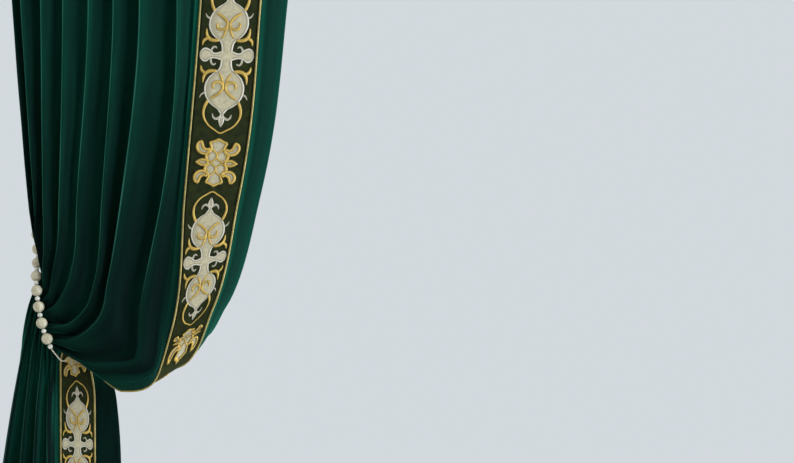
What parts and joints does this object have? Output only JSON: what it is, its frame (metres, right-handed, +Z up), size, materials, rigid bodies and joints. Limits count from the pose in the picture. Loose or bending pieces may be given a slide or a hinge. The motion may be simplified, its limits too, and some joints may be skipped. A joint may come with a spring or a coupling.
{
  "type": "velvet drape with beaded tieback",
  "caption": "Pleated velvet drape with a corded and embroidered border band, swept back into a swag by a loop of wooden beads.",
  "frame": {"origin": "middle of the drape's top edge", "axes": "+Z up, +X across the drape from its outer edge to its leading edge, +Y towards the wall; the velvet's face looks to -Y"},
  "size_m": [0.8105, 0.1694, 2.6787],
  "materials": {
    "velvet": "deep emerald cotton velvet, short dense pile",
    "border_cloth": "dark olive woven band with satin stitch embroidery in silver, cream and gold thread",
    "gold_piping": "twisted gold cord",
    "pale_wood": "bleached turned wood, satin",
    "white_wood": "white painted turned wood, satin",
    "cotton_cord": "natural twisted cotton cord"
  },
  "bodies": {
    "root": {"drape_panel": "velvet", "border_band": "border_cloth", "piping_inner": "gold_piping", "piping_outer": "gold_piping", "tie_cord": "cotton_cord", "bead_large_01": "pale_wood", "bead_large_02": "pale_wood", "bead_large_03": "pale_wood", "bead_large_04": "pale_wood", "bead_large_05": "pale_wood", "bead_large_06": "pale_wood", "bead_large_07": "pale_wood", "bead_large_08": "pale_wood", "bead_large_09": "pale_wood", "bead_small_01": "white_wood", "bead_small_02": "white_wood", "bead_small_03": "white_wood", "bead_small_04": "white_wood", "bead_small_05": "white_wood", "bead_small_06": "white_wood", "bead_small_07": "white_wood", "bead_small_08": "white_wood", "bead_small_09": "white_wood", "bead_small_10": "white_wood"}
  },
  "joints": []
}
